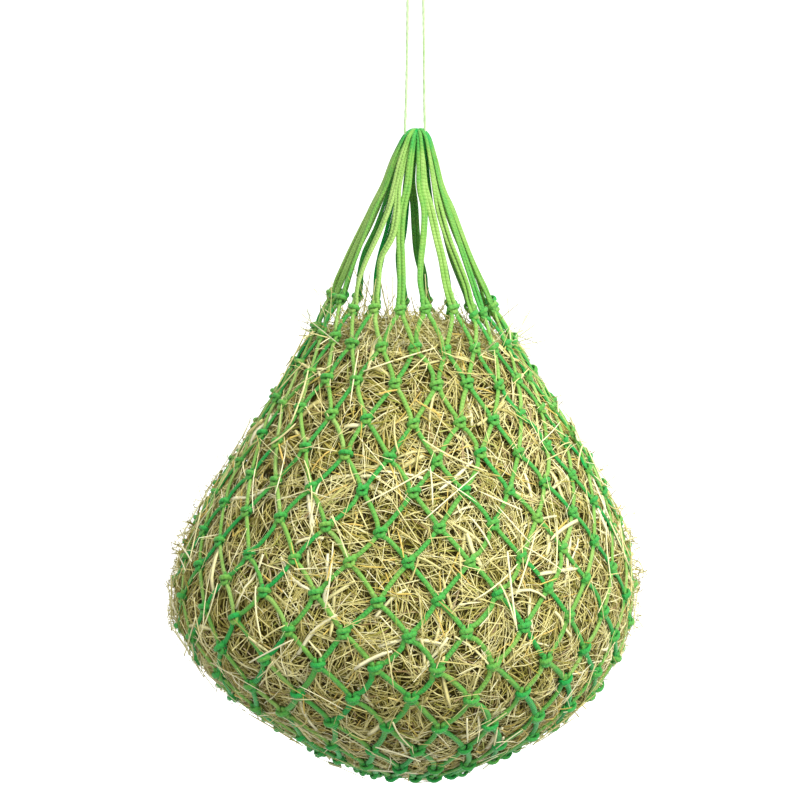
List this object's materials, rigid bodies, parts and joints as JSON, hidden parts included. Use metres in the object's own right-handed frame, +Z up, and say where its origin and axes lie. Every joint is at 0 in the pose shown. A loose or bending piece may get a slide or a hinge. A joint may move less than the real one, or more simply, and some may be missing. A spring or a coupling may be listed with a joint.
{
  "type": "hay net",
  "caption": "Knotted twine hay net, filled with hay and hung by its draw cord, which runs through the bunched top loops.",
  "frame": {"origin": "inside top of the hanging loop, where a hook or ring bears", "axes": "+Z up along the hanging line; +X to the right across the two falls of the draw cord; -Y is the front"},
  "size_m": [0.5428, 0.5428, 0.9969],
  "materials": {
    "twine": "soft braided plastic twine, slight sheen",
    "cord": "pale green twisted cord, slight sheen",
    "hay": "dry hay, matt"
  },
  "bodies": {
    "hanging_loop": {"hanging_loop": "cord"},
    "loop_knot": {"loop_knot": "cord"},
    "draw_cord": {"draw_cord_left": "cord", "draw_cord_right": "cord"},
    "mouth_bend": {"mouth_bend": "cord"},
    "mouth_bunch": {"mouth_bunch": "twine"},
    "net": {"top_loops": "twine", "net_round_01": "twine", "net_round_02": "twine", "net_round_03": "twine", "net_round_04": "twine", "net_round_05": "twine", "net_round_06": "twine", "net_round_07": "twine", "net_round_08": "twine", "net_round_09": "twine", "net_round_10": "twine", "net_round_11": "twine", "net_round_12": "twine", "net_round_13": "twine", "net_round_14": "twine", "net_round_15": "twine", "net_round_16": "twine", "hay_fill": "hay", "base_ring": "twine"}
  },
  "joints": [
    {"name": "swing_front_back", "type": "hinge", "parent": "hanging_loop", "child": "loop_knot", "pos_m": [0, 0, -0.05], "axis": [1, 0, 0], "range_deg": [-25, 25]},
    {"name": "swing_sideways", "type": "hinge", "parent": "loop_knot", "child": "draw_cord", "pos_m": [0, 0, -0.066], "axis": [0, 1, 0], "range_deg": [-25, 25]},
    {"name": "tilt_sideways", "type": "hinge", "parent": "draw_cord", "child": "mouth_bend", "pos_m": [0, 0, -0.247], "axis": [0, 1, 0], "range_deg": [-20, 20]},
    {"name": "tilt_front_back", "type": "hinge", "parent": "mouth_bend", "child": "mouth_bunch", "pos_m": [0, 0, -0.247], "axis": [1, 0, 0], "range_deg": [-20, 20]},
    {"name": "net_spin", "type": "hinge", "parent": "mouth_bunch", "child": "net", "pos_m": [0, 0, -0.247], "axis": [0, 0, 1], "range_deg": [-180, 180]}
  ]
}
